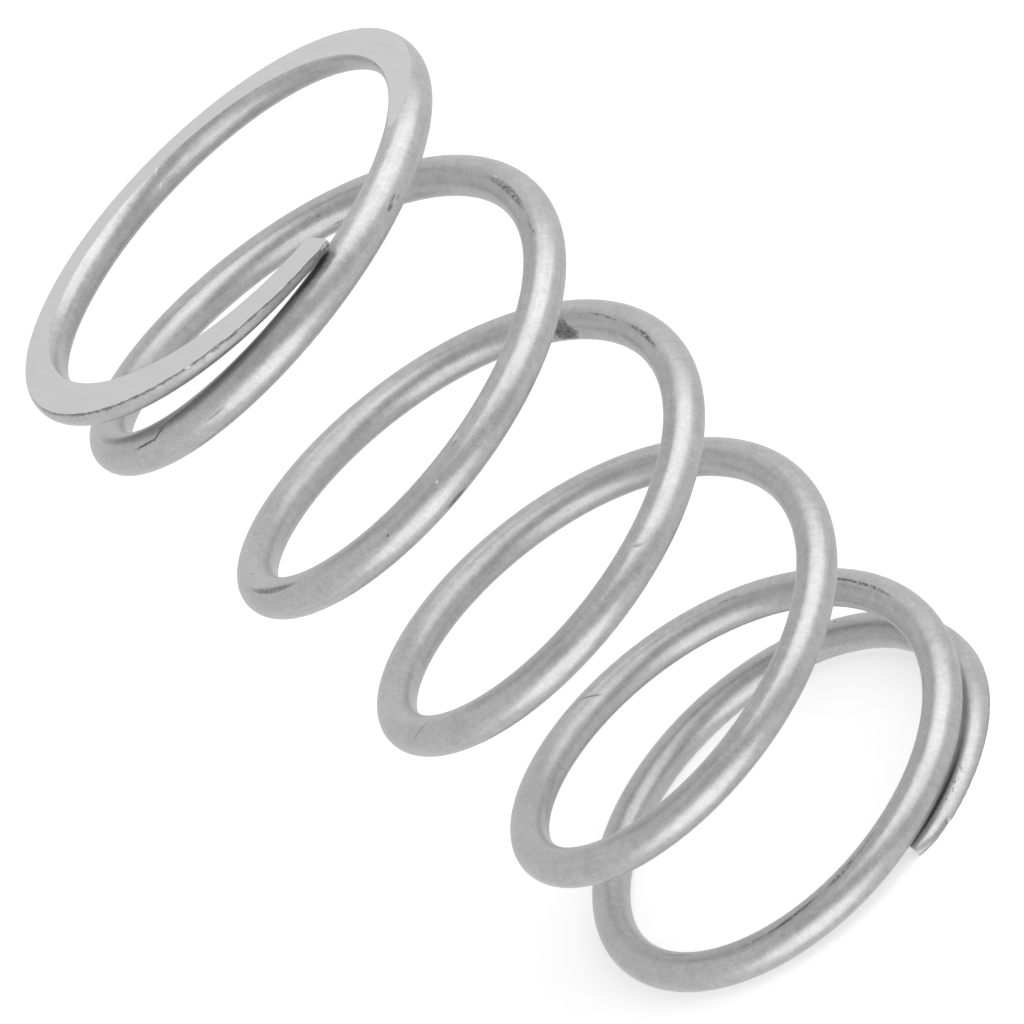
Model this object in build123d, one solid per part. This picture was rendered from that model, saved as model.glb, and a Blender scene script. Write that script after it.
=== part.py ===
from build123d import *
from dataclasses import dataclass
from math import cos, pi, sin
import os

# Clutch spring: one round wire coiled right-handed, with both ends closed and ground flat.
# The coil's axis is +Z and the spring stands on its lower ground face, which lies at z = 0.
# Lengths are in millimetres. Stretches of the wire are counted in turns of the coil.

# The wire and the coil as a whole
wire_diameter = 4.9
mean_coil_diameter = 53.6
free_length = 110.0
total_turns = 6.0

# Both ends: what grinding leaves of the wire at its tip, and how near the tip comes to the next coil
tip_thickness = 1.6
tip_gap = 0.1

# Each end coil climbs from its tip over the next coil, sags a little while it runs level, then opens out.
level_pitch = -2.8
lower_climb_turns = 0.41
lower_opening_start = 0.54
lower_opening_turns = 0.82
upper_climb_turns = 0.24
upper_opening_start = 0.59
upper_opening_turns = 0.57

# Each end coil stands a little wider than the open coils, with its tip bent back inwards.
lower_swell = 0.62
lower_tip_tuck = 0.29
upper_swell = 0.42
upper_tip_tuck = 0.48

# How gently the climb, the swell and the tuck of either end die away
climb_fade_turns = 0.25
full_swell_turns = 0.5
swell_fade_turns = 1.0
tuck_fade_turns = 0.4

# How finely the centre line is followed
points_per_turn = 24


@dataclass
class EndCoil:
    """The shape of one closed end coil, counted in turns from its tip."""

    climb_turns: float
    opening_start: float
    opening_turns: float
    swell: float
    tip_tuck: float


lower_end = EndCoil(lower_climb_turns, lower_opening_start, lower_opening_turns, lower_swell, lower_tip_tuck)
upper_end = EndCoil(upper_climb_turns, upper_opening_start, upper_opening_turns, upper_swell, upper_tip_tuck)


def blend(share):
    """Ease from 0 to 1 while share goes from 0 to 1."""
    held = min(max(share, 0.0), 1.0)
    return held**2 * (3 - 2 * held)


def blend_area(share):
    """Give the area under the blend up to share, which grows evenly once the blend is full."""
    if share > 1:
        return share - 1 / 2
    held = max(share, 0.0)
    return held**3 - held**4 / 2


def climbed_turns(turns, end):
    """Give how many turns of the tip's climb lie within that many turns of the tip."""
    return turns - climb_fade_turns * blend_area((turns - end.climb_turns) / climb_fade_turns)


def opened_turns(turns, end):
    """Give how many turns of the full pitch lie within that many turns of the tip."""
    return end.opening_turns * blend_area((turns - end.opening_start) / end.opening_turns)


def find_full_pitch():
    """Find the pitch of the open coils that brings the whole coil to its free length."""
    height = free_length + wire_diameter - 2 * tip_thickness
    open_turns = total_turns
    for end in (lower_end, upper_end):
        closed_turns = end.opening_start + end.opening_turns / 2
        inner_turns = closed_turns - 1 + opened_turns(1, end)
        height -= wire_diameter + tip_gap + level_pitch * inner_turns
        open_turns -= 1 + inner_turns
    return height / open_turns


full_pitch = find_full_pitch()


def find_climb_pitch(end):
    """Find the tip's own pitch that sets it one wire and the tip gap away from the next coil."""
    opened = opened_turns(1, end)
    gained = full_pitch * opened + level_pitch * (1 - opened)
    return (wire_diameter + tip_gap - gained) / climbed_turns(1, end)


def rise(turns, end):
    """Give how far along the axis the centre line has come that many turns from the tip."""
    opened = opened_turns(turns, end)
    climbed = find_climb_pitch(end) * climbed_turns(turns, end)
    return climbed + full_pitch * opened + level_pitch * (turns - opened)


def spread(turns, end):
    """Give how much further out than the open coils the wire lies that many turns from the tip."""
    swelling = end.swell * (1 - blend((turns - full_swell_turns) / swell_fade_turns))
    return swelling - end.tip_tuck * (1 - blend(turns / tuck_fade_turns))


def centre_point(turns):
    """Give the middle of the wire that many turns up from the lower tip."""
    from_top = total_turns - turns
    tip_height = tip_thickness - wire_diameter / 2
    if turns < from_top:
        height = tip_height + rise(turns, lower_end)
    else:
        height = free_length - tip_height - rise(from_top, upper_end)
    radius = mean_coil_diameter / 2 + spread(turns, lower_end) + spread(from_top, upper_end)
    return radius * cos(2 * pi * turns), radius * sin(2 * pi * turns), height


def coil_wire():
    """Sweep the round wire along its whole centre line, from one square-cut tip to the other."""
    spans = round(total_turns * points_per_turn)
    centre_line = Spline([centre_point(total_turns * span / spans) for span in range(spans + 1)])
    section = Plane(origin=centre_line @ 0, z_dir=centre_line % 0) * Circle(wire_diameter / 2)
    return sweep(section, path=centre_line, is_frenet=True)


def grind_ends(wire):
    """Grind both ends flat and square to the axis, the free length apart."""
    width = mean_coil_diameter + 4 * wire_diameter
    return wire & Box(width, width, free_length, align=(Align.CENTER, Align.CENTER, Align.MIN))


os.makedirs("parts", exist_ok=True)
spring = grind_ends(coil_wire())
spring.label = "spring"
export_step(spring, "parts/spring.step")
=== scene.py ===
from itertools import accumulate
from math import atan2, cos, pi, radians, sin
import random

import bmesh
import bpy
from bpy.props import FloatProperty, FloatVectorProperty, IntProperty, PointerProperty
from mathutils import Matrix, Vector


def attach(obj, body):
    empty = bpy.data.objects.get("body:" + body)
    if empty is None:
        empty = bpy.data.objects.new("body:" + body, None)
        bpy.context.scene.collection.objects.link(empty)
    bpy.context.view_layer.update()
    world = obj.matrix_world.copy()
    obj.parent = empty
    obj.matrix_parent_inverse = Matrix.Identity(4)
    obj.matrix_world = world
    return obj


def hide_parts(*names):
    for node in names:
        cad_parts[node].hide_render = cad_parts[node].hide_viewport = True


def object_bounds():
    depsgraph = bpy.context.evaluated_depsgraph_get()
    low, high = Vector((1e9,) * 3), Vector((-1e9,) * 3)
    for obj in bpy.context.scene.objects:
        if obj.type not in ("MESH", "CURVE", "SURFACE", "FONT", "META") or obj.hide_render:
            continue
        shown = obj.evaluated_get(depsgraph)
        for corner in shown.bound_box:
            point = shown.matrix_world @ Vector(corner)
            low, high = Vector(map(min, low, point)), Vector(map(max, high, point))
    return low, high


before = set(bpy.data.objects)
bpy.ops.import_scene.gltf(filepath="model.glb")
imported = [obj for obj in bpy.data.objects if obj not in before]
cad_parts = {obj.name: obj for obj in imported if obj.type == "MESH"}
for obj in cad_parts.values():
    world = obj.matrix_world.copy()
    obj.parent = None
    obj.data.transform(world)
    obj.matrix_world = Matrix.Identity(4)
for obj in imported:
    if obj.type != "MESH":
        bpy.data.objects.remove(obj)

bl_info = {
    "name": "Clutch spring",
    "version": (1, 0, 0),
    "blender": (4, 5, 0),
    "location": "View3D > Sidebar > Clutch spring",
    "description": "A ground clutch spring of round wire, with its finish and a studio stage",
    "category": "Object",
}

CAD_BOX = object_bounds()
CAD_HEIGHT = CAD_BOX[1][2] - CAD_BOX[0][2]
MM = 0.001
WIRE_PLACE = "straight_wire"  # attribute with each point's place on the straightened wire, in mm
GROUND_SLOT = 1  # the material slot of the ground ends, after the coated wire's


def length(name, description, millimetres):
    """Make a length property from its size in millimetres."""
    return FloatProperty(
        name=name, description=description, default=millimetres * MM, unit="LENGTH"
    )


def number(name, description, default):
    """Make a plain number property."""
    return FloatProperty(name=name, description=description, default=default)


def fraction(name, description, default):
    """Make a number property that stays between 0 and 1."""
    return FloatProperty(
        name=name, description=description, default=default, subtype="FACTOR", min=0.0, max=1.0
    )


def count(name, description, default, least):
    """Make a whole number property."""
    return IntProperty(name=name, description=description, default=default, min=least)


def power(name, description, watts):
    """Make a property for the power of a lamp."""
    return FloatProperty(name=name, description=description, default=watts, unit="POWER")


def grey(name, description, level):
    """Make a colour property that starts as a neutral grey."""
    return FloatVectorProperty(
        name=name, description=description, default=(level, level, level),
        subtype="COLOR", min=0.0, max=1.0,
    )


# What a user can set

class SpringSizes(bpy.types.PropertyGroup):
    """Sizes of the wire, the coil and the wear at its ends, with stretches counted in turns."""

    wire_diameter: length("Wire diameter", "Diameter of the round wire", 4.9)
    coil_diameter: length(
        "Mean coil diameter", "Diameter of the coil at the middle of the wire", 53.6
    )
    free_length: FloatProperty(
        name="Free length", description="Height between the two ground faces",
        default=CAD_HEIGHT, unit="LENGTH",
    )
    total_turns: number("Total turns", "Turns from tip to tip", 6.0)
    tip_thickness: length("Tip thickness", "What grinding leaves of the wire at its tips", 1.6)
    tip_gap: length("Tip gap", "Clearance between each tip and the next coil", 0.1)
    level_pitch: length("Level pitch", "Rise per turn where the end coils run level", -2.8)
    climb_fade: number("Climb fade", "Turns over which a tip's climb dies away", 0.25)
    swell_full: number(
        "Full swell", "Turns from a tip over which its coil keeps its full width", 0.5
    )
    swell_fade: number("Swell fade", "Turns over which the swell dies away", 1.0)
    tuck_fade: number("Tuck fade", "Turns over which the tip's tuck dies away", 0.4)
    lower_climb_turns: number("Lower climb", "Turns that the lower tip climbs over", 0.41)
    lower_opening_start: number(
        "Lower opening start", "Turns from the lower tip to where the coil opens", 0.54
    )
    lower_opening_turns: number("Lower opening", "Turns over which the lower end opens out", 0.82)
    lower_swell: length("Lower swell", "How much further out the lower end coil stands", 0.62)
    lower_tip_tuck: length("Lower tip tuck", "How far the lower tip is bent back inwards", 0.29)
    upper_climb_turns: number("Upper climb", "Turns that the upper tip climbs over", 0.24)
    upper_opening_start: number(
        "Upper opening start", "Turns from the upper tip to where the coil opens", 0.59
    )
    upper_opening_turns: number("Upper opening", "Turns over which the upper end opens out", 0.57)
    upper_swell: length("Upper swell", "How much further out the upper end coil stands", 0.42)
    upper_tip_tuck: length("Upper tip tuck", "How far the upper tip is bent back inwards", 0.48)
    rings_per_turn: count("Rings per turn", "Sections along each turn", 96, 24)
    ring_sides: count("Ring sides", "Sides of each section of the wire", 40, 12)
    lower_rounding: length(
        "Lower tip rounding", "Rounding of the edge of the wire cut off at the lower tip", 0.3
    )
    upper_rounding: length(
        "Upper tip rounding", "Rounding of the edge of the wire cut off at the upper tip", 0.7
    )
    tip_shortening: length(
        "Tip shortening", "How much shorter the lower tip's cut leaves the middle of the wire", 0.41
    )
    outward_slant: number(
        "Outward slant", "How much longer the lower tip gets for each length outwards", 0.19
    )
    upward_slant: number(
        "Upward slant", "How much longer the lower tip gets for each length upwards", 0.1
    )
    tip_narrowing: length(
        "Tip narrowing", "How far the lower tip's outer side is worn in at its end", 0.9
    )
    tip_reach: length(
        "Tip reach", "How far along the wire the lower tip's slant and narrowing go", 3.0
    )
    rim_rounding: length("Rim rounding", "Rounding of the ground faces' sharp rims", 0.06)
    lower_burr: length(
        "Lower burr", "How far the burr stands out of the rim of the lower ground face", 0.08
    )
    upper_burr: length(
        "Upper burr", "How far the burr stands out of the rim of the upper ground face", 0.26
    )
    burr_height: length("Burr height", "How far from its ground face each burr reaches", 0.5)
    burr_turns: number("Burr turns", "Turns from each tip over which grinding left a burr", 0.3)
    burr_rings: count("Burr rings", "How many times closer the sections lie by the burrs", 4, 1)
    corner_wear: length("Corner wear", "How far the lower tip's outer corner is worn away", 0.22)
    corner_length: length(
        "Worn corner length", "How far from the lower tip its corner is worn", 5.4
    )
    corner_height: length(
        "Worn corner height", "How high above the ground face that wear reaches", 0.6
    )
    corner_fade: fraction(
        "Worn corner fade", "Share of the worn corner's length over which the wear fades", 0.125
    )
    lower_tear: length("Lower tear", "How far the sheared lower tip is torn out", 0.05)
    upper_tear: length("Upper tear", "How far the sheared upper tip is torn out", 0.5)


class FinishSettings(bpy.types.PropertyGroup):
    """Colour, roughness and texture of the coated wire and of its ground ends."""

    coat_colour: grey("Coat colour", "Colour of the coated wire", 0.42)
    ground_colour: grey("Ground colour", "Colour of the ground ends", 0.56)
    # The scuff colour also paints shade in the crevices and under the rims' lips, and the bright
    # colour also paints highlights
    scuff_and_shade_colour: grey("Scuff and shade colour", "Colour of the dark marks that wear has left", 0.05)
    bare_steel_and_highlight_colour: grey("Bright colour", "Colour where wear has laid the steel bare", 0.75)
    coat_metal: fraction("Metallic", "How metallic the coat looks", 0.7)
    coat_roughness: fraction("Coat roughness", "Roughness of the coat", 0.36)
    roughness_spread: fraction(
        "Roughness spread", "How far the coat's roughness follows its grain", 0.05
    )
    scuff_and_shade_roughness: fraction(
        "Scuff and shade roughness", "How much rougher than the coat the dark marks are", 0.3
    )
    ground_roughness: fraction("Ground roughness", "Roughness of the ground ends", 0.5)
    coat_speckle: fraction("Coat speckle", "How much lighter and darker the coat's grain is", 0.17)
    ground_speckle: fraction(
        "Ground speckle", "How much lighter and darker the ground ends' lines are", 0.06
    )
    grain_size: length("Grain size", "Size of the fine grain of the peened wire", 0.22)
    grain_height: length("Grain height", "Height of that grain", 0.03)
    grain_strength: fraction(
        "Grain strength", "Strength of the light and shade that the grain gives", 0.32
    )
    line_height: length("Line height", "Height of the lines that grinding leaves", 0.02)
    line_strength: fraction(
        "Line strength", "Strength of the light and shade that those lines give", 0.15
    )
    line_angle: FloatProperty(
        name="Line angle", description="Way that the grinding lines run",
        default=radians(35), unit="ROTATION",
    )
    # The rim shade is a thin dark line painted beside each ground rim, as the shade under the
    # burr's lip
    rim_shade_band: length("Rim shade band", "Width of the dark line beside the ground rims", 0.52)
    rim_shade_turns: number("Rim shade turns", "Turns from each tip over which the dark line runs", 0.32)
    lower_rim_shade: fraction("Lower rim shade", "How strong that line is at the lower end", 0.2)
    upper_rim_shade: fraction("Upper rim shade", "How strong that line is at the upper end", 0.72)


class StageSettings(bpy.types.PropertyGroup):
    """The floor, the lamps and the camera."""

    floor_size: length("Floor size", "Width of the plain floor", 1200)
    floor_colour: grey("Floor colour", "Colour of the floor", 0.8)
    floor_glow: number(
        "Floor glow", "Light that shows through the pale floor, which only the camera sees", 0.46
    )
    surround_level: number("Surround light", "Brightness of the light from all round", 0.47)
    lamp_distance: length("Lamp distance", "Distance of both lamps from the spring", 700)
    overhead_width: length("Overhead lamp width", "Width of the lamp above", 1000)
    overhead_watts: power("Overhead lamp", "Power of the lamp above", 4.7)
    low_width: length("Low lamp width", "Width of the lamp under the floor", 800)
    low_watts: power("Low lamp", "Power of the lamp under the floor", 3.0)
    card_distance: length("Card distance", "Distance of the grey card behind the camera", 750)
    card_width: length("Card width", "Width of the grey card", 2400)
    card_height: length("Card height", "Height of the grey card", 700)
    card_level: number("Card level", "Brightness of the grey card", 0.53)
    lens: FloatProperty(
        name="Lens", description="Focal length for a 36 mm frame", default=144.65, unit="CAMERA"
    )


# The line that the wire follows

def blend(share):
    """Ease from 0 to 1 while share goes from 0 to 1."""
    held = min(max(share, 0.0), 1.0)
    return held**2 * (3 - 2 * held)


def blend_area(share):
    """Give the area under the blend up to share, which grows evenly once the blend is full."""
    if share > 1:
        return share - 1 / 2
    held = max(share, 0.0)
    return held**3 - held**4 / 2


class EndCoil:
    """The shape of one closed end coil, counted in turns from its tip."""

    def __init__(self, sizes, end):
        self.sizes = sizes
        self.climb_turns = getattr(sizes, end + "_climb_turns")
        self.opening_start = getattr(sizes, end + "_opening_start")
        self.opening_turns = getattr(sizes, end + "_opening_turns")
        self.swell = getattr(sizes, end + "_swell")
        self.tip_tuck = getattr(sizes, end + "_tip_tuck")

    def climbed(self, turns):
        """Give how many turns of the tip's climb lie within that many turns of the tip."""
        fade = self.sizes.climb_fade
        return turns - fade * blend_area((turns - self.climb_turns) / fade)

    def opened(self, turns):
        """Give how many turns of the full pitch lie within that many turns of the tip."""
        return self.opening_turns * blend_area((turns - self.opening_start) / self.opening_turns)

    def inner_turns(self):
        """Give how many turns short of the full pitch this end stays past its first turn."""
        return self.opening_start + self.opening_turns / 2 - 1 + self.opened(1)

    def spread(self, turns):
        """Give how much further out than the open coils the wire lies."""
        sizes = self.sizes
        swelling = self.swell * (1 - blend((turns - sizes.swell_full) / sizes.swell_fade))
        return swelling - self.tip_tuck * (1 - blend(turns / sizes.tuck_fade))


class WireLine:
    """The middle of the wire, followed in turns up from the lower tip."""

    def __init__(self, sizes):
        self.sizes = sizes
        self.lower = EndCoil(sizes, "lower")
        self.upper = EndCoil(sizes, "upper")
        self.first_rise = sizes.wire_diameter + sizes.tip_gap
        self.full_pitch = self.find_full_pitch()

    def find_full_pitch(self):
        """Find the pitch of the open coils that brings the whole coil to its free length."""
        sizes = self.sizes
        height = sizes.free_length + sizes.wire_diameter - 2 * sizes.tip_thickness
        open_turns = sizes.total_turns
        for end in (self.lower, self.upper):
            height -= self.first_rise + sizes.level_pitch * end.inner_turns()
            open_turns -= 1 + end.inner_turns()
        return height / open_turns

    def rise(self, turns, end):
        """Give how far along the axis the line has come that many turns from the tip."""
        level = self.sizes.level_pitch
        first_gain = self.full_pitch * end.opened(1) + level * (1 - end.opened(1))
        climb_pitch = (self.first_rise - first_gain) / end.climbed(1)
        opened = end.opened(turns)
        climb = climb_pitch * end.climbed(turns)
        return climb + self.full_pitch * opened + level * (turns - opened)

    def point(self, turns):
        """Give the middle of the wire at that many turns."""
        sizes = self.sizes
        from_top = sizes.total_turns - turns
        tip_height = sizes.tip_thickness - sizes.wire_diameter / 2
        if turns < from_top:
            height = tip_height + self.rise(turns, self.lower)
        else:
            height = sizes.free_length - tip_height - self.rise(from_top, self.upper)
        radius = sizes.coil_diameter / 2 + self.lower.spread(turns) + self.upper.spread(from_top)
        return Vector((radius * cos(2 * pi * turns), radius * sin(2 * pi * turns), height))

    def direction(self, turns):
        """Give the way that the wire runs there."""
        near = 1e-4
        return (self.point(turns + near) - self.point(turns - near)).normalized()


# The spring's mesh

CUT_TOLERANCE = 1e-7  # metres
TIP_BEVEL_STEPS = 4
RIM_BEVEL_STEPS = 2
SHARP_RIM = radians(25)
CREASE = radians(35)
FLAT_FACE_SIDES = 8  # a face with fewer sides belongs to the round wire
WEAR_SEED = 7
AT_CUT = 1e-3  # mm along the wire, within which a point belongs to its cut-off end
OUTER_SIDE = 1  # mm out from the middle of the wire, where a tip's torn side starts
NARROWING_CURVE = 1.5  # power of the nearness to the tip that its narrowing follows


def level_direction(vector):
    """Give the level direction of a vector, without its rise."""
    return Vector((vector.x, vector.y, 0)).normalized()


def mark_straight_place(ring, layer, centre, heading, run):
    """Note where each point of a section would lie if the wire were straight, in millimetres."""
    outward = Vector((centre.x, centre.y, 0))
    outward = (outward - outward.dot(heading) * heading).normalized()
    upward = outward.cross(heading)
    for vert in ring:
        offset = vert.co - centre
        vert[layer] = Vector((offset.dot(outward), offset.dot(upward), run)) / MM


def each_once(items):
    """List the items without repeats, in the same order each run, as a set would not."""
    return list(dict.fromkeys(items))


def first_section(bm, line, sizes):
    """Make the square-cut section at the lower tip."""
    heading = line.direction(0)
    turned = Vector((0, 0, 1)).rotation_difference(heading).to_matrix().to_4x4()
    place = Matrix.Translation(line.point(0)) @ turned
    made = bmesh.ops.create_circle(
        bm, cap_ends=True, segments=sizes.ring_sides, radius=sizes.wire_diameter / 2, matrix=place
    )
    return made["verts"], each_once(edge for vert in made["verts"] for edge in vert.link_edges)


def next_section(bm, line, edges, before, now):
    """Spin the last section on round the axis and square it to the wire's new heading."""
    angle = 2 * pi * (now - before)
    turn = Matrix.Rotation(angle, 3, "Z")
    carried = turn @ line.point(before)
    centre = line.point(now)
    spun = bmesh.ops.spin(
        bm, geom=edges, cent=(0, 0, 0), axis=(0, 0, 1), angle=angle, steps=1,
        dvec=(0, 0, centre.z - carried.z), use_merge=False,
    )["geom_last"]
    ring = [item for item in spun if isinstance(item, bmesh.types.BMVert)]
    sideways = Vector((centre.x - carried.x, centre.y - carried.y, 0))
    bmesh.ops.translate(bm, verts=ring, vec=sideways)
    swing = (turn @ line.direction(before)).rotation_difference(line.direction(now))
    bmesh.ops.rotate(bm, verts=ring, cent=centre, matrix=swing.to_matrix())
    return ring, [item for item in spun if isinstance(item, bmesh.types.BMEdge)]


def section_places(sizes):
    """List the turns at which the wire gets a section, which lie closer together by the burrs."""
    finer = sizes.burr_rings
    steps = round(sizes.total_turns * sizes.rings_per_turn) * finer
    places = []
    for step in range(steps + 1):
        from_tip = min(step, steps - step)
        # The finer section next to a tip is left out, to make room for the tip's rounding
        in_burr = 1 < from_tip < sizes.burr_turns * sizes.rings_per_turn * finer
        if in_burr or from_tip % finer == 0:
            places.append(sizes.total_turns * step / steps)
    return places


def coil_wire(bm, sizes):
    """Run the section of the wire from the lower tip to the upper one."""
    line = WireLine(sizes)
    layer = bm.verts.layers.float_vector.new(WIRE_PLACE)
    ring, edges = first_section(bm, line, sizes)
    mark_straight_place(ring, layer, line.point(0), line.direction(0), 0)
    places = section_places(sizes)
    run = 0.0
    for before, now in zip(places, places[1:]):
        ring, edges = next_section(bm, line, edges, before, now)
        run += (line.point(now) - line.point(before)).length
        mark_straight_place(ring, layer, line.point(now), line.direction(now), run)
    bmesh.ops.contextual_create(bm, geom=edges)


def round_tips(bm, sizes):
    """Round the edge of the cut-off wire at both tips."""
    caps = [face for face in bm.faces if len(face.verts) == sizes.ring_sides]
    caps.sort(key=lambda face: face.calc_center_median().z)
    for cap, rounding in zip(caps, (sizes.lower_rounding, sizes.upper_rounding)):
        bmesh.ops.bevel(
            bm, geom=cap.edges[:], offset=rounding, offset_type="OFFSET",
            segments=TIP_BEVEL_STEPS, profile=0.5, affect="EDGES", material=-1,
        )


def grind_end(bm, height, outward):
    """Grind the wire flat at that height and close the cut, with outward out of the ground face."""
    cut = bmesh.ops.bisect_plane(
        bm, geom=bm.verts[:] + bm.edges[:] + bm.faces[:], dist=CUT_TOLERANCE,
        plane_co=(0, 0, height), plane_no=outward, clear_outer=True,
    )["geom_cut"]
    rim = [item for item in cut if isinstance(item, bmesh.types.BMEdge)]
    bmesh.ops.edgeloop_fill(bm, edges=rim, mat_nr=GROUND_SLOT)


def round_rims(bm, sizes):
    """Round the edges where the ground faces meet the round wire at a clear angle."""
    close = sizes.rim_rounding / 3
    sliver = sizes.rim_rounding / 50
    bmesh.ops.remove_doubles(bm, verts=bm.verts, dist=close)
    bmesh.ops.recalc_face_normals(bm, faces=bm.faces)
    ground = [face for face in bm.faces if face.material_index == GROUND_SLOT]
    edges = each_once(edge for face in ground for edge in face.edges)
    sharp = [edge for edge in edges if edge.calc_face_angle(0.0) > SHARP_RIM]
    bmesh.ops.bevel(
        bm, geom=sharp, offset=sizes.rim_rounding, offset_type="OFFSET",
        segments=RIM_BEVEL_STEPS, profile=0.5, affect="EDGES", material=-1,
    )
    bmesh.ops.dissolve_degenerate(bm, edges=bm.edges, dist=sliver)


def ragged_rim(bm, sizes, height, burr, tip, chance):
    """Pull the outer rim near the tip out into the ragged burr that grinding leaves."""
    layer = bm.verts.layers.float_vector[WIRE_PLACE]
    rings_per_turn = sizes.rings_per_turn * sizes.burr_rings
    spacing = pi * sizes.coil_diameter / rings_per_turn
    last = round(sizes.burr_turns * rings_per_turn)
    teeth = [chance.random() ** 2 * (1 - (place / last) ** 2) for place in range(last)]
    for vert in bm.verts:
        off_face = abs(vert.co.z - height) / sizes.burr_height
        tooth = round(abs(vert[layer].z - tip) * MM / spacing)
        if off_face < 1 and tooth < last and vert[layer].x > 0:
            vert.co += level_direction(vert.co) * burr * teeth[tooth] * (1 - off_face)


def torn_tip(bm, sizes, heading, tear, tip, chance):
    """Pull the outer side of the sheared end into torn points, twice as far outwards as along."""
    layer = bm.verts.layers.float_vector[WIRE_PLACE]
    along = level_direction(heading) / 2
    points = [chance.random() for _ in range(sizes.ring_sides + 1)]
    for vert in bm.verts:
        place = vert[layer]
        if abs(place.z - tip) < AT_CUT and place.x > OUTER_SIDE:
            side = round((atan2(place.y, place.x) / pi + 1) / 2 * sizes.ring_sides)
            vert.co += (along + level_direction(vert.co)) * tear * points[side]


def worn_tip(bm, sizes, heading):
    """Slant the lower tip's cut a little, and wear its outer side in so that it narrows."""
    layer = bm.verts.layers.float_vector[WIRE_PLACE]
    level = level_direction(heading)
    wire_radius = sizes.wire_diameter / 2
    for vert in bm.verts:
        outward, upward, run = vert[layer] * MM
        nearness = 1 - run / sizes.tip_reach
        if nearness > 0:
            away = level_direction(vert.co)
            slant = outward * sizes.outward_slant + upward * sizes.upward_slant
            longer = slant - sizes.tip_shortening
            inward = sizes.tip_narrowing * (max(outward, 0) / wire_radius) ** 2
            vert.co -= level * longer * nearness + away * inward * nearness**NARROWING_CURVE


def worn_corner(bm, sizes):
    """Wear away the lower rim's corner over the last stretch before its tip."""
    layer = bm.verts.layers.float_vector[WIRE_PLACE]
    for vert in bm.verts:
        off_face = vert.co.z / sizes.corner_height
        from_tip = vert[layer].z * MM / sizes.corner_length
        if off_face < 1 and from_tip < 1 and vert[layer].x > 0:
            fade = min(1, (1 - from_tip) / sizes.corner_fade)
            vert.co -= level_direction(vert.co) * sizes.corner_wear * (1 - off_face) * fade


def build_spring_mesh(sizes):
    """Coil the wire, round its tips, grind both ends, and round, wear and tear their rims."""
    bm = bmesh.new()
    coil_wire(bm, sizes)
    round_tips(bm, sizes)
    grind_end(bm, 0, (0, 0, -1))
    grind_end(bm, sizes.free_length, (0, 0, 1))
    round_rims(bm, sizes)
    line = WireLine(sizes)
    chance = random.Random(WEAR_SEED)
    layer = bm.verts.layers.float_vector[WIRE_PLACE]
    run = max(vert[layer].z for vert in bm.verts)
    ragged_rim(bm, sizes, 0, sizes.lower_burr, 0, chance)
    torn_tip(bm, sizes, -line.direction(0), sizes.lower_tear, 0, chance)
    worn_corner(bm, sizes)
    worn_tip(bm, sizes, line.direction(0))
    ragged_rim(bm, sizes, sizes.free_length, sizes.upper_burr, run, chance)
    torn_tip(bm, sizes, line.direction(sizes.total_turns), sizes.upper_tear, run, chance)
    for face in bm.faces:
        face.smooth = len(face.verts) < FLAT_FACE_SIDES
    bmesh.ops.triangulate(bm, faces=[face for face in bm.faces if len(face.verts) > 4])
    bmesh.ops.recalc_face_normals(bm, faces=bm.faces)
    for edge in bm.edges:
        edge.smooth = edge.calc_face_angle(0.0) < CREASE
    return bm


# The finish

def add_node(tree, kind, values=(), **settings):
    """Add a node, with its settings, and with values or links for its inputs by name or number."""
    node = tree.nodes.new(kind)
    for name, value in settings.items():
        setattr(node, name, value)
    for name, value in dict(values).items():
        if isinstance(value, bpy.types.NodeSocket):
            tree.links.new(value, node.inputs[name])
        else:
            node.inputs[name].default_value = value
    return node


def add_group(tree, name, values):
    """Place a shared node group, with its values."""
    return add_node(tree, "ShaderNodeGroup", values, node_tree=bpy.data.node_groups[name])


def maths(tree, operation, first, second=0.0, third=0.0):
    """Work on two or three numbers and give the result."""
    values = {0: first, 1: second, 2: third}
    return add_node(tree, "ShaderNodeMath", values, operation=operation).outputs[0]


def noise(tree, place, scale, roughness):
    """Add a noise pattern and give its level, from a place in metres or on the wire in mm."""
    values = {"Vector": place, "Scale": scale, "Detail": 3.0, "Roughness": roughness}
    return add_node(tree, "ShaderNodeTexNoise", values).outputs[0]


def stretched(tree, place, scale, turn=0.0):
    """Scale a place along each axis, and turn it round Z, so that a pattern there stretches."""
    values = {"Vector": place, "Rotation": (0, 0, turn), "Scale": scale}
    return add_node(tree, "ShaderNodeMapping", values).outputs[0]


def turned_back(tree, place, angle):
    """Turn a place back round Z by that angle."""
    values = {"Vector": place, "Angle": maths(tree, "MULTIPLY", angle, -1.0)}
    return add_node(tree, "ShaderNodeVectorRotate", values, rotation_type="Z_AXIS").outputs[0]


def stepped(tree, value, low, high):
    """Turn a number into a smooth mask that goes from 0 at low to 1 at high."""
    values = {"Value": value, "From Min": low, "From Max": high}
    node = add_node(tree, "ShaderNodeMapRange", values, interpolation_type="SMOOTHSTEP")
    return node.outputs["Result"]


def fading(tree, strength, value, low, high):
    """Let a strength fade to nothing while the value goes from low to high."""
    left = maths(tree, "SUBTRACT", 1.0, stepped(tree, value, low, high))
    return maths(tree, "MULTIPLY", strength, left)


def mixed(tree, share, first, second):
    """Mix two colours and give the result."""
    values = {0: share, 6: first, 7: second}
    return add_node(tree, "ShaderNodeMix", values, data_type="RGBA").outputs[2]


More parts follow.
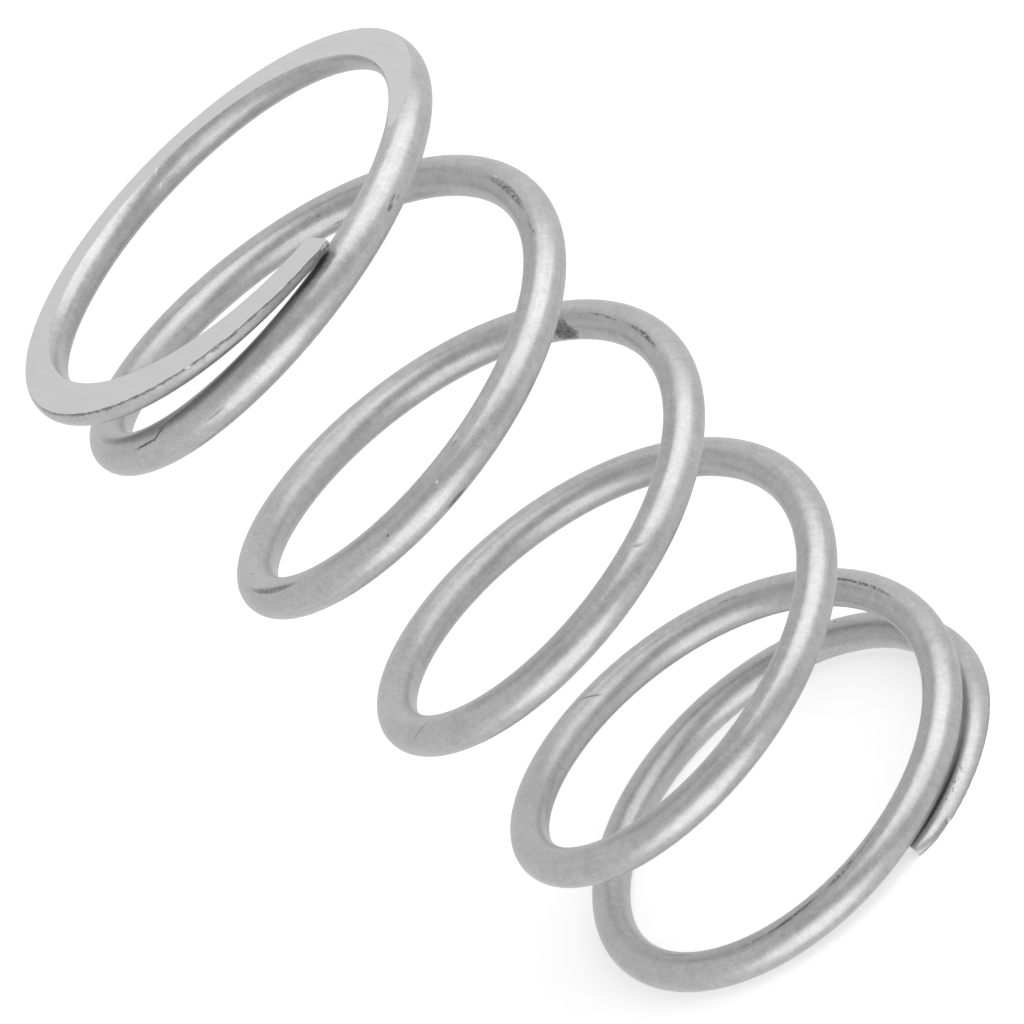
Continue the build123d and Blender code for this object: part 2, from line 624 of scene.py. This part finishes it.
def new_group(name, vectors, numbers, outputs):
    """Start a node group from the names of its inputs, with the numbers' defaults, and outputs."""
    group = bpy.data.node_groups.new(name, "ShaderNodeTree")
    add_socket = group.interface.new_socket
    for socket in vectors:
        add_socket(socket, in_out="INPUT", socket_type="NodeSocketVector")
    for socket, default in numbers.items():
        made = add_socket(socket, in_out="INPUT", socket_type="NodeSocketFloat")
        made.default_value = default
    for socket in outputs:
        add_socket(socket, in_out="OUTPUT", socket_type="NodeSocketFloat")
    given = group.nodes.new("NodeGroupInput").outputs
    return group, given, group.nodes.new("NodeGroupOutput").inputs


def wear_and_painted_light_mark_group():
    """One oval mark on the straightened wire: 1 inside it, with a ragged or a soft edge."""
    numbers = {
        "Raggedness": 0.5, "Along": 0.0, "Round": 0.0, "Direction": 0.0, "Length": 5.0,
        "Width": 0.5, "Breakup": 0.5, "Softness": 0.3, "Wire Radius": 2.45,
    }
    group, given, result = new_group("wear and painted light mark", ["Straight Wire"], numbers, ["Mask"])
    facing_mark = turned_back(group, given["Straight Wire"], given["Round"])
    place = add_node(group, "ShaderNodeSeparateXYZ", {0: facing_mark}).outputs
    girth = maths(
        group, "MULTIPLY", maths(group, "ARCTAN2", place["Y"], place["X"]), given["Wire Radius"]
    )
    run = maths(group, "SUBTRACT", place["Z"], given["Along"])
    unrolled = add_node(group, "ShaderNodeCombineXYZ", {"X": run, "Y": girth}).outputs[0]
    aligned = turned_back(group, unrolled, given["Direction"])
    lengths = {"X": given["Length"], "Y": given["Width"], "Z": 1.0}
    size = add_node(group, "ShaderNodeCombineXYZ", lengths).outputs[0]
    share = add_node(group, "ShaderNodeVectorMath", {0: aligned, 1: size}, operation="DIVIDE")
    reach = add_node(group, "ShaderNodeVectorMath", {0: share.outputs[0]}, operation="LENGTH")
    # The oval ends at half its size, and the softer it is, the nearer its middle it starts to fade
    crisp = maths(group, "SUBTRACT", 1.0, given["Softness"])
    ragged = maths(group, "SUBTRACT", given["Raggedness"], 0.5)
    edge = maths(group, "MULTIPLY_ADD", ragged, crisp, reach.outputs["Value"])
    inside = fading(group, 1.0, edge, low=maths(group, "MULTIPLY", crisp, 0.5), high=0.56)
    gaps = fading(group, given["Breakup"], given["Raggedness"], low=0.40, high=0.58)
    kept = maths(group, "SUBTRACT", 1.0, gaps)
    group.links.new(maths(group, "MULTIPLY", inside, kept), result["Mask"])


def rim_shade_group():
    """A thin dark line of painted shade under the burr's lip, and a darker smear close to the tip.
    """
    numbers = {"Face Height": 0.0, "Band": 0.001, "Tip": 0.0, "Reach": 50.0}
    group, given, result = new_group("rim shade", ["Place", "Straight Wire"], numbers, ["Mask"])
    height = add_node(group, "ShaderNodeSeparateXYZ", {0: given["Place"]}).outputs["Z"]
    wire = add_node(group, "ShaderNodeSeparateXYZ", {0: given["Straight Wire"]}).outputs
    off_face = maths(group, "ABSOLUTE", maths(group, "SUBTRACT", height, given["Face Height"]))
    in_bands = maths(group, "DIVIDE", off_face, given["Band"])
    drawn_out = stretched(group, given["Straight Wire"], (1.0, 1.0, 0.5))
    ragged = noise(group, drawn_out, scale=2.4, roughness=0.6)
    # The noise moves the edges of the line and the smear by up to 2.2 bands
    uneven = maths(group, "MULTIPLY_ADD", ragged, 2.2, in_bands)
    from_tip = maths(group, "ABSOLUTE", maths(group, "SUBTRACT", wire["Z"], given["Tip"]))
    tip_share = maths(group, "DIVIDE", from_tip, given["Reach"])
    line = fading(group, 1.0, uneven, low=1.25, high=1.95)
    line = fading(group, line, tip_share, low=0.6, high=1.0)
    smear = fading(group, 0.55, uneven, low=2.0, high=3.8)
    smear = fading(group, smear, tip_share, low=0.0, high=0.3)
    outer_side = stepped(group, wire["X"], low=0.2, high=0.6)
    # Painted shade: the dark line under the rim's lip and the smear by the tip, on the outer side
    # only
    painted_shade = maths(group, "MULTIPLY", maths(group, "MAXIMUM", line, smear), outer_side)
    group.links.new(painted_shade, result["Mask"])


def peened_grain_group():
    """The grain of peened and coated wire, from fine dots to clouds: a tone and a height."""
    group, given, result = new_group(
        "peened grain", ["Place", "Straight Wire"], {"Grain Scale": 1.0}, ["Tone", "Height"]
    )
    place, wire, scale = given["Place"], given["Straight Wire"], given["Grain Scale"]
    fine = noise(group, place, scale, roughness=0.65)
    blotches = noise(group, place, maths(group, "MULTIPLY", scale, 0.22), roughness=0.6)
    clouds = noise(group, place, maths(group, "MULTIPLY", scale, 0.06), roughness=0.5)
    drawn = noise(group, stretched(group, wire, (1.0, 1.0, 0.06)), scale=2.2, roughness=0.5)
    chatter = noise(group, stretched(group, wire, (0.12, 0.12, 1.0)), scale=1.6, roughness=0.6)
    shares = ((fine, 0.4), (blotches, 0.22), (clouds, 0.14), (drawn, 0.14), (chatter, 0.1))
    tone = 0.0
    for pattern, share in shares:
        tone = maths(group, "MULTIPLY_ADD", pattern, share, tone)
    group.links.new(tone, result["Tone"])
    height = fine
    for pattern, rise in ((blotches, 3.0), (drawn, 0.5)):
        height = maths(group, "MULTIPLY_ADD", pattern, rise, height)
    group.links.new(height, result["Height"])


# Each mark: turns from the lower tip, degrees round the wire from its outer side, direction in
# degrees, length and width in mm, how broken up it is, how soft its edge is, how strong it is
DARK_MARKS = (
    (5.043, -3.0, 0, 1.5, 0.7, 0.0, 0.8, 0.75),
    (5.049, 2.0, 0, 1.6, 0.5, 0.3, 0.8, 0.5),
    (5.052, -10.0, 0, 1.0, 0.3, 0.2, 0.6, 0.5),
    (4.203, 101.0, 3, 11.5, 0.95, 0.8, 0.3, 0.8),
    (4.147, 83.5, 11, 3.6, 0.3, 0.9, 0.3, 0.7),
    (3.306, 175.0, 0, 4.5, 2.6, 0.4, 0.2, 0.9),
    (3.306, 148.0, 0, 2.0, 1.6, 0.6, 0.3, 0.8),
    (3.262, 110.0, 0, 6.8, 0.35, 0.95, 0.3, 0.7),
    (3.208, 99.5, 3, 8.6, 0.65, 0.85, 0.3, 0.85),
    (3.777, 71.0, 1, 12.5, 0.8, 0.6, 0.3, 0.75),
    (3.946, -40.0, 2, 3.4, 0.9, 0.3, 0.4, 0.8),
    (3.973, 74.0, 6, 1.0, 0.5, 0.8, 0.3, 0.5),
    (3.901, 33.0, 0, 0.45, 0.35, 0.0, 0.4, 0.7),
    (3.719, 104.0, 0, 0.8, 0.3, 0.3, 0.4, 0.5),
    (4.395, -169.0, 0, 1.6, 0.4, 0.8, 0.4, 0.6),
    (4.407, 147.0, 0, 1.4, 0.35, 0.8, 0.3, 0.6),
    (3.010, 50.0, -45, 1.3, 0.35, 0.6, 0.3, 0.45),
    (2.785, 66.1, 37, 3.9, 0.5, 0.7, 0.4, 0.4),
    (1.521, 121.0, -39, 3.4, 0.35, 0.5, 0.3, 0.6),
    (1.386, 110.0, 1, 3.5, 0.3, 0.9, 0.3, 0.45),
    (1.280, 99.0, 2, 5.0, 0.4, 0.3, 0.3, 0.8),
    (1.251, 96.5, 2, 11.3, 0.5, 0.9, 0.3, 0.85),
    (0.333, 81.0, 0, 0.6, 0.4, 0.2, 0.4, 0.6),
    (0.978, 85.0, 3, 5.0, 0.3, 0.7, 0.3, 0.6),
    (0.955, 83.0, 3, 6.0, 0.9, 0.75, 0.4, 0.7),
    (0.908, 79.0, 2, 9.0, 0.5, 0.45, 0.3, 0.85),
    (0.872, 77.0, 0, 5.0, 0.3, 0.9, 0.3, 0.55),
    (0.795, 111.0, 0, 6.5, 0.4, 0.5, 0.5, 0.45),
    (4.815, 46.0, 2, 4.6, 0.28, 0.1, 0.3, 0.85),
    (4.832, 58.0, 24, 3.4, 0.28, 0.1, 0.3, 0.85),
    (4.851, 72.0, 3, 5.4, 0.32, 0.2, 0.3, 0.8),
    (4.878, 8.0, 0, 3.0, 0.25, 0.5, 0.3, 0.45),
    # Painted shade: these dark marks on the coil under the upper tip stand for the shade in the
    # crevice where the tip nearly touches it
    (4.965, 86.0, -2, 19.0, 1.7, 0.0, 1.0, 1.0),
    (4.977, 80.0, -6, 10.0, 1.5, 0.0, 0.7, 1.0),
    (4.915, 81.0, 2, 36.0, 2.0, 0.0, 1.0, 0.9),
    (4.885, 79.0, 2, 22.0, 1.1, 0.7, 0.5, 0.75),
    (4.810, 87.0, 0, 30.0, 1.5, 0.0, 1.0, 0.6),
    (1.030, -31.0, 0, 16.0, 1.0, 0.0, 1.0, 0.5),
    # Painted shade: these two dark marks on the lower tip's wire stand for the shade in the crevice
    # under the next coil
    (0.020, 84.0, 0, 16.0, 1.2, 0.0, 1.0, 0.4),
    (0.045, 74.0, 0, 21.0, 0.7, 0.0, 0.7, 1.0),
    # Painted shade round a small bump on the lower tip that the mesh does not have
    (0.027, 24.0, 60, 1.0, 0.25, 0.3, 0.4, 0.5),
    # Painted shade in the crevice right beside the upper tip
    (4.991, 81.0, 0, 4.5, 1.4, 0.0, 0.5, 1.0),
    (5.992, -30.0, 0, 2.4, 2.6, 1.0, 0.3, 0.8),
    (5.999, 15.0, 90, 2.0, 1.0, 0.8, 0.3, 0.8),
)
BRIGHT_MARKS = (
    # Painted highlight: these two bright marks light the lower tip's end
    (0.014, 44.0, 0, 4.5, 1.2, 0.6, 0.8, 0.4),
    (0.005, 48.0, 0, 2.0, 1.0, 0.4, 0.8, 0.4),
    # Painted glint on that small bump
    (0.030, 21.0, 30, 0.7, 0.4, 0.0, 0.5, 0.7),
    # Painted highlight: a light band on the side wall below the upper rim's lip
    (5.915, -30.0, -6, 27.0, 1.3, 0.4, 0.8, 0.35),
    (3.947, 40.0, 0, 0.5, 0.35, 0.0, 0.3, 0.9),
    (4.228, 96.0, 0, 1.2, 0.35, 0.5, 0.4, 0.5),
    (3.976, 80.0, 0, 1.2, 0.5, 0.6, 0.4, 0.6),
    (5.470, 144.0, 30, 1.6, 0.35, 0.6, 0.4, 0.6),
    (5.476, -178.0, 30, 1.2, 0.4, 0.6, 0.4, 0.6),
    (5.887, -2.0, 0, 0.9, 0.4, 0.2, 0.3, 0.9),
    (5.997, -20.0, 0, 1.2, 1.4, 0.9, 0.3, 0.9),
)
PITTED_PLACE = (0.052, 60.0, 0, 12.0, 2.4, 0.0, 1.0, 1.0)


class WireRuns:
    """How many millimetres of wire lie below each place, as followed along its middle."""

    def __init__(self, sizes):
        line = WireLine(sizes)
        self.per_turn = sizes.rings_per_turn
        rings = range(round(sizes.total_turns * self.per_turn) + 1)
        points = [line.point(ring / self.per_turn) for ring in rings]
        steps = [(after - before).length / MM for before, after in zip(points, points[1:])]
        self.runs = list(accumulate(steps, initial=0.0))

    def at(self, turns):
        """Give the length of wire below that many turns."""
        place = min(turns * self.per_turn, len(self.runs) - 1)
        below = min(int(place), len(self.runs) - 2)
        return self.runs[below] + (place - below) * (self.runs[below + 1] - self.runs[below])


def grain_nodes(tree, finish):
    """Add the grain, and give the place and straightened wire that it lies on, and its outputs."""
    straight = add_node(tree, "ShaderNodeAttribute", attribute_name=WIRE_PLACE).outputs["Vector"]
    place = add_node(tree, "ShaderNodeTexCoord").outputs["Object"]
    values = {"Place": place, "Straight Wire": straight, "Grain Scale": 1 / finish.grain_size}
    return place, straight, add_group(tree, "peened grain", values).outputs


def all_marks(tree, common, runs, marks):
    """Join the masks of those marks, wear and painted light alike, into one; common holds the
    inputs that they share.
    """
    joined = 0.0
    for turns, angle, direction, mark_length, mark_width, breakup, softness, depth in marks:
        own = {
            "Along": runs.at(turns), "Round": radians(angle), "Direction": radians(direction),
            "Length": mark_length, "Width": mark_width, "Breakup": breakup, "Softness": softness,
        }
        mask = add_group(tree, "wear and painted light mark", {**common, **own}).outputs["Mask"]
        joined = maths(tree, "MAXIMUM", joined, maths(tree, "MULTIPLY", mask, depth))
    return joined


def pits(tree, common, runs):
    """Scatter small dark pits over the pitted place."""
    cells = add_node(
        tree, "ShaderNodeTexVoronoi", {"Vector": common["Straight Wire"], "Scale": 2.8}
    )
    dots = fading(tree, 1.0, cells.outputs["Distance"], low=0.14, high=0.36)
    return maths(tree, "MULTIPLY", dots, all_marks(tree, common, runs, [PITTED_PLACE]))


def both_rims(tree, place, straight, runs, finish, sizes):
    """Join the painted shade lines beside the rims of the two ground ends."""
    ends = (
        (0.0, 0.0, finish.lower_rim_shade),
        (sizes.free_length, runs.at(sizes.total_turns), finish.upper_rim_shade),
    )
    rims = []
    for height, tip, depth in ends:
        values = {
            "Place": place, "Straight Wire": straight, "Face Height": height, "Tip": tip,
            "Band": finish.rim_shade_band, "Reach": runs.at(finish.rim_shade_turns),
        }
        mask = add_group(tree, "rim shade", values).outputs["Mask"]
        rims.append(maths(tree, "MULTIPLY", mask, depth))
    return maths(tree, "MAXIMUM", *rims)


def shade(colour, factor=1.0):
    """Give a colour made lighter or darker, with full alpha."""
    return tuple(channel * factor for channel in colour) + (1.0,)


def speckled(tree, share, colour, spread):
    """Mix a darker and a lighter shade of a colour, by that much each way."""
    return mixed(tree, share, shade(colour, 1 - spread), shade(colour, 1 + spread))


def new_material(name, metal):
    """Start a material, and give its tree and its shader's inputs."""
    material = bpy.data.materials.new(name)
    material.use_nodes = True
    shader = material.node_tree.nodes["Principled BSDF"].inputs
    shader["Metallic"].default_value = metal
    return material, material.node_tree, shader


def add_bump(tree, shader, height, strength, distance):
    """Give the shader's surface the light and shade of that height."""
    values = {"Strength": strength, "Distance": distance, "Height": height}
    tree.links.new(add_node(tree, "ShaderNodeBump", values).outputs[0], shader["Normal"])


def coated_wire(finish, sizes):
    """Satin grey coat over the peened wire, with its wear, and with painted shade and painted
    highlights.
    """
    material, tree, shader = new_material("coated wire", finish.coat_metal)
    place, straight, grain = grain_nodes(tree, finish)
    runs = WireRuns(sizes)
    common = {
        "Straight Wire": straight,
        "Raggedness": noise(tree, straight, scale=2.6, roughness=0.5),
        "Wire Radius": sizes.wire_diameter / 2 / MM,
    }
    # The dark marks hold scuffs and painted crevice shade, and the rims add painted shade under
    # their lips
    scuffs_and_shade = all_marks(tree, common, runs, DARK_MARKS)
    rims = both_rims(tree, place, straight, runs, finish, sizes)
    dark = maths(tree, "MAXIMUM", maths(tree, "MAXIMUM", scuffs_and_shade, rims), pits(tree, common, runs))
    # The bright marks hold bare steel and painted highlights
    bright = all_marks(tree, common, runs, BRIGHT_MARKS)
    speckle = stepped(tree, grain["Tone"], low=0.36, high=0.64)
    coat = speckled(tree, speckle, finish.coat_colour, finish.coat_speckle)
    scuffed_and_shaded = mixed(tree, dark, coat, shade(finish.scuff_and_shade_colour))
    tree.links.new(mixed(tree, bright, scuffed_and_shaded, shade(finish.bare_steel_and_highlight_colour)), shader["Base Color"])
    even = add_node(tree, "ShaderNodeMapRange", {
        "Value": grain["Tone"], "From Min": 0.3, "From Max": 0.7,
        "To Min": finish.coat_roughness - finish.roughness_spread,
        "To Max": finish.coat_roughness + finish.roughness_spread,
    }).outputs[0]
    roughness = maths(tree, "MULTIPLY_ADD", dark, finish.scuff_and_shade_roughness, even)
    tree.links.new(roughness, shader["Roughness"])
    tree.links.new(fading(tree, finish.coat_metal, dark, low=0.0, high=1.0), shader["Metallic"])
    add_bump(tree, shader, grain["Height"], finish.grain_strength, finish.grain_height)
    return material


def ground_end(finish):
    """The coated flats of the ground ends: pale and even, with faint grinding lines."""
    material, tree, shader = new_material("ground end", finish.coat_metal)
    place, _, grain = grain_nodes(tree, finish)
    across = stretched(tree, place, (1, 24, 1), turn=finish.line_angle)
    lines = noise(tree, across, scale=160.0, roughness=0.5)
    mottle = 0.0
    for pattern, share in ((grain["Tone"], 0.6), (lines, 0.4)):
        mottle = maths(tree, "MULTIPLY_ADD", pattern, share, mottle)
    speckle = stepped(tree, mottle, low=0.25, high=0.75)
    colour = speckled(tree, speckle, finish.ground_colour, finish.ground_speckle)
    tree.links.new(colour, shader["Base Color"])
    shader["Roughness"].default_value = finish.ground_roughness
    add_bump(tree, shader, lines, finish.line_strength, finish.line_height)
    return material


# The stage

FRAME_WIDTH = 36  # mm, for the lens
NEAREST_SEEN = 10 * MM
# Where the photograph was taken from, and what ran to its right and up
VIEW_FROM = Vector((426.03, -100.64, 276.41)) * MM
VIEW_RIGHT = Vector((0.47039, 0.62114, -0.62683))
VIEW_UP = Vector((-0.14883, 0.75599, 0.63744))
VIEW_BACK = VIEW_RIGHT.cross(VIEW_UP).normalized()
# The sides of the spring that the lamps are on
OVERHEAD_SIDE = Vector((0.3481, 0.5709, 0.7436))
LOW_SIDE = Vector((0.708, -0.6472, -0.2825))


def facing(side):
    """Give the turn that faces the spring from that side, level with the camera's right."""
    back = side.normalized()
    right = (VIEW_RIGHT - VIEW_RIGHT.dot(back) * back).normalized()
    return Matrix((right, back.cross(right), back)).transposed().to_4x4()


def add_camera(stage):
    """Put the camera where the photograph was taken from, rolled so that the spring slants."""
    data = bpy.data.cameras.new("camera")
    data.sensor_width = FRAME_WIDTH
    data.lens = stage.lens
    data.clip_start = NEAREST_SEEN
    camera = bpy.data.objects.new("camera", data)
    camera.matrix_world = Matrix.Translation(VIEW_FROM) @ facing(VIEW_BACK)
    bpy.context.scene.collection.objects.link(camera)
    bpy.context.scene.camera = camera


def add_lamp(name, side, width, watts, distance, middle):
    """Put a square soft lamp on that side of the spring, facing it."""
    data = bpy.data.lights.new(name, "AREA")
    data.shape = "SQUARE"
    data.size = width
    data.energy = watts
    lamp = bpy.data.objects.new(name, data)
    lamp.matrix_world = Matrix.Translation(middle + side * distance) @ facing(side)
    lamp.visible_camera = False
    bpy.context.scene.collection.objects.link(lamp)


def glowing(tree, strength):
    """Add an emission shader of that strength."""
    return add_node(tree, "ShaderNodeEmission", {"Strength": strength}).outputs[0]


def stage_material(name):
    """Start an empty material for the floor or the card."""
    material = bpy.data.materials.new(name)
    material.use_nodes = True
    material.node_tree.nodes.clear()
    return material, material.node_tree


def floor_material(stage):
    """Pale floor that reads white to the camera and keeps the spring's soft shadow."""
    material, tree = stage_material("floor")
    colour = shade(stage.floor_colour)
    plain = add_node(tree, "ShaderNodeBsdfDiffuse", {"Color": colour}).outputs[0]
    seen = add_node(tree, "ShaderNodeLightPath").outputs["Is Camera Ray"]
    glow = glowing(tree, maths(tree, "MULTIPLY", seen, stage.floor_glow))
    both = add_node(tree, "ShaderNodeAddShader", {0: plain, 1: glow}).outputs[0]
    add_node(tree, "ShaderNodeOutputMaterial", {"Surface": both})
    return material


def add_stage_sheet(name, material, place, wide, high):
    """Lay a flat sheet at that place as a part of the stage."""
    bm = bmesh.new()
    bmesh.ops.create_grid(bm, x_segments=1, y_segments=1, size=1 / 2)
    bmesh.ops.scale(bm, vec=(wide, high, 1), verts=bm.verts)
    bmesh.ops.transform(bm, matrix=place, verts=bm.verts)
    mesh = bpy.data.meshes.new(name)
    bm.to_mesh(mesh)
    bm.free()
    sheet = bpy.data.objects.new(name, mesh)
    mesh.materials.append(material)
    bpy.context.scene.collection.objects.link(sheet)
    return sheet


def add_floor(stage):
    """Lay the floor under the lower ground end; the lamp below it shines through it."""
    size = stage.floor_size
    floor = add_stage_sheet("floor", floor_material(stage), Matrix(), size, size)
    floor.visible_shadow = False
    floor.visible_diffuse = False
    floor.visible_glossy = False


def add_card(stage, middle):
    """Hang a grey card behind the camera, which gives the wire its darker middle stripe."""
    material, tree = stage_material("grey card")
    add_node(tree, "ShaderNodeOutputMaterial", {"Surface": glowing(tree, stage.card_level)})
    place = Matrix.Translation(middle + VIEW_BACK * stage.card_distance) @ facing(VIEW_BACK)
    card = add_stage_sheet("grey_card", material, place, stage.card_width, stage.card_height)
    card.visible_camera = False
    card.visible_shadow = False


def set_surround(stage):
    """Light the spring evenly from all round, with white for the camera and for reflections."""
    world = bpy.data.worlds.new("surround")
    bpy.context.scene.world = world
    world.use_nodes = True
    tree = world.node_tree
    tree.nodes.clear()
    rays = add_node(tree, "ShaderNodeLightPath").outputs
    shiny = maths(tree, "MAXIMUM", rays["Is Glossy Ray"], rays["Is Transmission Ray"])
    white = maths(tree, "MAXIMUM", rays["Is Camera Ray"], shiny)
    levels = {"Value": white, "To Min": stage.surround_level, "To Max": 1.0}
    level = add_node(tree, "ShaderNodeMapRange", levels).outputs[0]
    light = add_node(tree, "ShaderNodeBackground", {"Color": (1, 1, 1, 1), "Strength": level})
    add_node(tree, "ShaderNodeOutputWorld", {"Surface": light.outputs[0]})


# Operators and the panel

class CLUTCHSPRING_OT_spring(bpy.types.Operator):
    """Make the coiled, ground and coated spring"""

    bl_idname = "clutch_spring.spring"
    bl_label = "Spring"

    def execute(self, context):
        sizes = context.scene.spring_sizes
        finish = context.scene.spring_finish
        for make_group in (peened_grain_group, wear_and_painted_light_mark_group, rim_shade_group):
            make_group()
        bm = build_spring_mesh(sizes)
        mesh = bpy.data.meshes.new("spring_wire")
        bm.to_mesh(mesh)
        bm.free()
        spring = bpy.data.objects.new("spring_wire", mesh)
        context.scene.collection.objects.link(spring)
        mesh.materials.append(coated_wire(finish, sizes))
        mesh.materials.append(ground_end(finish))
        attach(spring, "root")
        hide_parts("spring")
        return {"FINISHED"}


class CLUTCHSPRING_OT_stage(bpy.types.Operator):
    """Set the floor, the lamps and the camera"""

    bl_idname = "clutch_spring.stage"
    bl_label = "Stage"

    def execute(self, context):
        stage = context.scene.spring_stage
        context.scene.view_settings.view_transform = "Standard"
        middle = Vector((0, 0, context.scene.spring_sizes.free_length / 2))
        add_camera(stage)
        add_floor(stage)
        set_surround(stage)
        add_card(stage, middle)
        lamps = (
            ("overhead lamp", OVERHEAD_SIDE, stage.overhead_width, stage.overhead_watts),
            ("low lamp", LOW_SIDE, stage.low_width, stage.low_watts),
        )
        for name, side, width, watts in lamps:
            add_lamp(name, side, width, watts, stage.lamp_distance, middle)
        return {"FINISHED"}


class CLUTCHSPRING_PT_panel(bpy.types.Panel):
    """The spring's sizes and finish, and the stage"""

    bl_idname = "CLUTCHSPRING_PT_panel"
    bl_label = "Clutch spring"
    bl_space_type = "VIEW_3D"
    bl_region_type = "UI"
    bl_category = "Clutch spring"

    def draw(self, context):
        scene = context.scene
        parts = (
            (scene.spring_sizes, "clutch_spring.spring"),
            (scene.spring_finish, None),
            (scene.spring_stage, "clutch_spring.stage"),
        )
        for settings, operator in parts:
            box = self.layout.box()
            for name in settings.__annotations__:
                box.prop(settings, name)
            if operator:
                box.operator(operator)


CLASSES = (
    SpringSizes,
    FinishSettings,
    StageSettings,
    CLUTCHSPRING_OT_spring,
    CLUTCHSPRING_OT_stage,
    CLUTCHSPRING_PT_panel,
)


def register():
    """Register the classes, and give the scene its settings."""
    for each in CLASSES:
        bpy.utils.register_class(each)
    bpy.types.Scene.spring_sizes = PointerProperty(type=SpringSizes)
    bpy.types.Scene.spring_finish = PointerProperty(type=FinishSettings)
    bpy.types.Scene.spring_stage = PointerProperty(type=StageSettings)


def unregister():
    """Take the settings and the classes away again."""
    del bpy.types.Scene.spring_stage
    del bpy.types.Scene.spring_finish
    del bpy.types.Scene.spring_sizes
    for each in reversed(CLASSES):
        bpy.utils.unregister_class(each)


def main():
    """Register the add-on, and make the spring and the stage."""
    register()
    bpy.ops.clutch_spring.spring()
    bpy.ops.clutch_spring.stage()
    bpy.context.view_layer.update()


if __name__ == "__main__":
    main()
